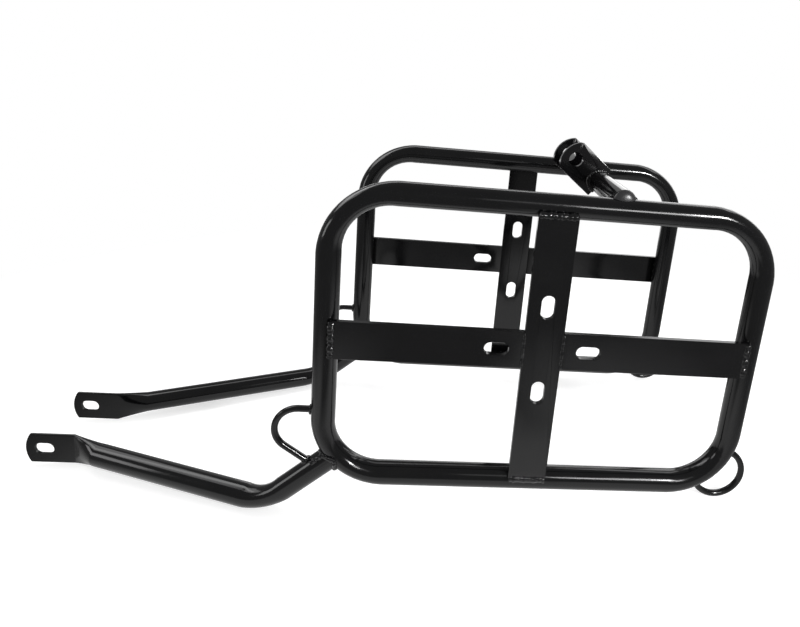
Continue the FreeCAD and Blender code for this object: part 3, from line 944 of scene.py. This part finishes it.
@dataclass
class Studio:
    """Pale floor that the rack rests on, even light and the camera.

    The camera sees a white background. The paint mirrors a dimmer one, a painted reflection that only
    mirrored rays see: dark, with a pale stretch of floor and a backdrop on one side.
    """

    floor_size: float = 8.0
    rest_gap: float = 0.3 * MM
    settle_turns: int = 8
    floor_colour: str = "#d9d9d9"
    floor_glow: float = 0.57
    # Levels and edges of the painted reflection that only mirrored rays see on the floor; the patch before
    # the rack is a painted dark reflection.
    floor_mirror_near: float = 0.75
    backdrop_mirror: float = 0.5
    mirror_dark: float = 0.21
    far_blend: tuple[float, float] = (0.5, 0.9)
    pale_reflection_front_y: float = -0.40
    pale_reflection_front_blend: float = 0.10
    pale_reflection_back_y: float = 0.20
    pale_reflection_back_blend: float = 0.15
    dark_reflection_x: float = 0.04
    dark_reflection_sides: tuple[float, float] = (0.09, 0.17)
    dark_reflection_back_y: tuple[float, float] = (-0.30, -0.20)
    pale_reflection_sides: tuple[float, float] = (0.24, 0.44)
    backdrop_y: tuple[float, float] = (0.78, 0.96)
    world_light: float = 0.45
    camera_place: tuple[float, float, float] = (0.040777, -0.562504, 0.430088)
    camera_degrees: tuple[float, float, float] = (77.44309, -5.59582, -4.48907)
    camera_shift: tuple[float, float] = (-0.122656, -0.146956)
    camera_lens: float = 25.0698
    camera_sensor: float = 36.0
    camera_clip: float = 0.01
    softboxes: tuple[Softbox, ...] = (
        Softbox("front_strip", (0.66, -0.95, 0.65), (0.2, -0.11, 0.2), 0.56, 0.19, 8.5),
        Softbox("front_strip_dim", (0.26, -0.95, 0.65), (0.14, -0.11, 0.2), 0.24, 0.19, 0.5),
        Softbox("back_strip", (0.54, 0.27, 0.72), (0.3, 0.0, 0.1), 0.46, 0.14, 1.8),
        Softbox("back_strip_dim", (-0.30, 0.27, 0.72), (-0.2, 0.0, 0.1), 1.20, 0.16, 1.7),
        Softbox("back_panel", (0.80, 0.90, 0.62), (0.2, 0.0, 0.3), 0.94, 0.62, 1.5),
        Softbox("low_back_panel", (0.05, 0.90, 0.14), (0.0, 0.0, 0.14), 0.70, 0.30, 1.0),
        Softbox("spark", (0.80, -0.95, 0.70), (0.2, -0.11, 0.2), 0.14, 0.09, 150.0),
        Softbox("left_strip", (-1.07, -0.29, 0.36), (-0.1, -0.1, 0.1), 0.32, 0.30, 2.4),
        Softbox("overhead_left", (-0.80, 0.26, 0.85), (-0.3, -0.1, 0.1), 0.75, 0.60, 1.4),
    )

    def build(self) -> None:
        """Add the floor, the world, the lamps and the camera."""
        self.add_floor()
        self.add_world()
        for softbox in self.softboxes:
            softbox.build()
        self.add_camera()
        bpy.context.scene.view_settings.view_transform = "Standard"

    def rest_plane(self) -> tuple[np.ndarray, float]:
        """Plane that touches the legs and the rear rings from below.

        The slope is found by letting it settle: each of the two pieces gives
        its lowest point square to the slope, and the line through those two
        points gives the next slope.

        Returns:
            A point of the plane and its slope along X in radians.
        """
        profiles = []
        for part in ("leg", "rear_ring"):
            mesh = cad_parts[Side.RIGHT.node(part)].data
            places = np.empty(len(mesh.vertices) * 3)
            mesh.vertices.foreach_get("co", places)
            profiles.append(places.reshape(-1, 3))
        slope = 0.0
        for _ in range(self.settle_turns):
            down = np.array([math.sin(slope), 0.0, -math.cos(slope)])
            front, rear = (profile[np.argmax(profile @ down)] for profile in profiles)
            slope = math.atan2(rear[2] - front[2], rear[0] - front[0])
        return front, slope

    def add_floor(self) -> None:
        """Add the floor, a square in the rest plane, just clear of the rack."""
        touch, slope = self.rest_plane()
        along = np.array([math.cos(slope), 0.0, math.sin(slope)])
        across = np.array([0.0, 1.0, 0.0])
        normal = np.cross(along, across)
        middle = np.array([touch[0], 0.0, touch[2]]) - normal * self.rest_gap
        half = self.floor_size / 2
        corners = [middle + along * a + across * b
                   for a, b in ((-half, -half), (half, -half), (half, half), (-half, half))]
        mesh = bpy.data.meshes.new("floor")
        mesh.from_pydata([tuple(corner) for corner in corners], [], [(0, 1, 2, 3)])
        floor = link_object("floor", mesh)
        floor.data.materials.append(self.floor_material())

    def mirror_level(self, tree: bpy.types.NodeTree, place: bpy.types.NodeSocket) -> bpy.types.NodeSocket:
        """Level of the floor as the paint mirrors it.

        The painted reflection's pale level rises from dark to its own at its front edge and falls to the
        backdrop's behind it; the smaller of the two counts. It goes over to dark beyond its sides, and also
        before the rack, where a painted dark reflection lies on the floor, as wide as its sides tell.

        Args:
            tree: Node tree of the floor.
            place: Socket of the place on the floor.

        Returns:
            Socket of the level.
        """
        parts = add_node(tree, "ShaderNodeSeparateXYZ", {0: place})
        y = parts.outputs["Y"]
        front_y = (self.pale_reflection_front_y - self.pale_reflection_front_blend, self.pale_reflection_front_y + self.pale_reflection_front_blend)
        back_y = (self.pale_reflection_back_y - self.pale_reflection_back_blend, self.pale_reflection_back_y + self.pale_reflection_back_blend)
        pale_reflection_level = add_node(tree, "ShaderNodeMath", {
            0: ramp(tree, y, front_y, (self.mirror_dark, self.floor_mirror_near)),
            1: ramp(tree, y, back_y, (self.floor_mirror_near, self.backdrop_mirror))},
            operation="MINIMUM")
        # Painted dark reflection: a dark patch on the floor before the rack, seen only in the paint.
        aside = add_node(tree, "ShaderNodeMath", {
            0: parts.outputs["X"], 1: self.dark_reflection_x}, operation="SUBTRACT")
        sideways = add_node(tree, "ShaderNodeMath", {0: aside.outputs[0]}, operation="ABSOLUTE").outputs[0]
        outside_dark_reflection = add_node(tree, "ShaderNodeMath", {
            0: ramp(tree, sideways, self.dark_reflection_sides), 1: ramp(tree, y, self.dark_reflection_back_y)},
            operation="MAXIMUM")
        pale_reflection_share = add_node(tree, "ShaderNodeMath", {
            0: outside_dark_reflection.outputs[0], 1: ramp(tree, sideways, self.pale_reflection_sides, (1.0, 0.0))},
            operation="MULTIPLY")
        level = add_node(tree, "ShaderNodeMix", {
            "Factor": pale_reflection_share.outputs[0], 2: self.mirror_dark, 3: pale_reflection_level.outputs[0]}, data_type="FLOAT")
        return level.outputs[0]

    def floor_material(self) -> bpy.types.Material:
        """White sheet that keeps the shadow and meets the white background.

        For the camera it is matt with a glow, and goes over to plain white
        with the distance from the rack. Mirrored rays get the mirror level
        alone, and all others the matt sheet.

        Returns:
            The sheet's material.
        """
        material = empty_material("white_sheet")
        tree = material.node_tree
        ray = add_node(tree, "ShaderNodeLightPath")
        place = add_node(tree, "ShaderNodeTexCoord").outputs["Object"]
        matt = add_node(tree, "ShaderNodeBsdfDiffuse", {"Color": linear(self.floor_colour)})
        glow = add_node(tree, "ShaderNodeEmission", {"Strength": self.floor_glow})
        near = add_node(tree, "ShaderNodeAddShader", {0: matt.outputs[0], 1: glow.outputs[0]})
        white = add_node(tree, "ShaderNodeEmission", {"Strength": 1.0})
        distance = add_node(tree, "ShaderNodeVectorMath", {0: place}, operation="LENGTH")
        seen = add_node(tree, "ShaderNodeMixShader", {
            0: ramp(tree, distance.outputs["Value"], self.far_blend),
            1: near.outputs[0], 2: white.outputs[0]})
        mirrored = add_node(tree, "ShaderNodeEmission", {"Strength": self.mirror_level(tree, place)})
        unmirrored = add_node(tree, "ShaderNodeMixShader", {
            0: ray.outputs["Is Camera Ray"], 1: matt.outputs[0], 2: seen.outputs[0]})
        surface = add_node(tree, "ShaderNodeMixShader", {
            0: mirrored_ray(tree, ray), 1: unmirrored.outputs[0], 2: mirrored.outputs[0]})
        add_node(tree, "ShaderNodeOutputMaterial", {"Surface": surface.outputs[0]})
        return material

    def add_world(self) -> None:
        """Add the white background and what the paint and the light get of it.

        Mirrored rays get a dark level that rises to the backdrop's as their
        direction turns towards the rack's right; all other rays but the
        camera's get the even light.
        """
        world = bpy.data.worlds.new("studio")
        world.use_nodes = True
        tree = world.node_tree
        tree.nodes.clear()
        ray = add_node(tree, "ShaderNodeLightPath")
        direction = add_node(tree, "ShaderNodeTexCoord").outputs["Generated"]
        parts = add_node(tree, "ShaderNodeSeparateXYZ", {0: direction})
        backdrop = ramp(tree, parts.outputs["Y"], self.backdrop_y, (self.mirror_dark, self.backdrop_mirror))
        light = add_node(tree, "ShaderNodeBackground", {"Color": WHITE, "Strength": self.world_light})
        mirrored = add_node(tree, "ShaderNodeBackground", {"Color": WHITE, "Strength": backdrop})
        white = add_node(tree, "ShaderNodeBackground", {"Color": WHITE, "Strength": 1.0})
        unseen = add_node(tree, "ShaderNodeMixShader", {
            0: mirrored_ray(tree, ray), 1: light.outputs[0], 2: mirrored.outputs[0]})
        surface = add_node(tree, "ShaderNodeMixShader", {
            0: ray.outputs["Is Camera Ray"], 1: unseen.outputs[0], 2: white.outputs[0]})
        add_node(tree, "ShaderNodeOutputWorld", {"Surface": surface.outputs[0]})
        bpy.context.scene.world = world

    def add_camera(self) -> None:
        """Add the camera at the photograph's place and angle."""
        camera = bpy.data.cameras.new("camera")
        camera.sensor_width = self.camera_sensor
        camera.lens = self.camera_lens
        camera.shift_x, camera.shift_y = self.camera_shift
        camera.clip_start = self.camera_clip
        obj = bpy.data.objects.new("camera", camera)
        bpy.context.scene.collection.objects.link(obj)
        obj.location = self.camera_place
        obj.rotation_euler = tuple(math.radians(angle) for angle in self.camera_degrees)
        bpy.context.scene.camera = obj


def main() -> None:
    """Build the rack's looks and the studio round it."""
    logging.basicConfig(level=logging.INFO, format="%(name)s: %(message)s")
    PaintedSteel().build()
    Welds(RackPlan()).build()
    Studio().build()


if __name__ == "__main__":
    main()
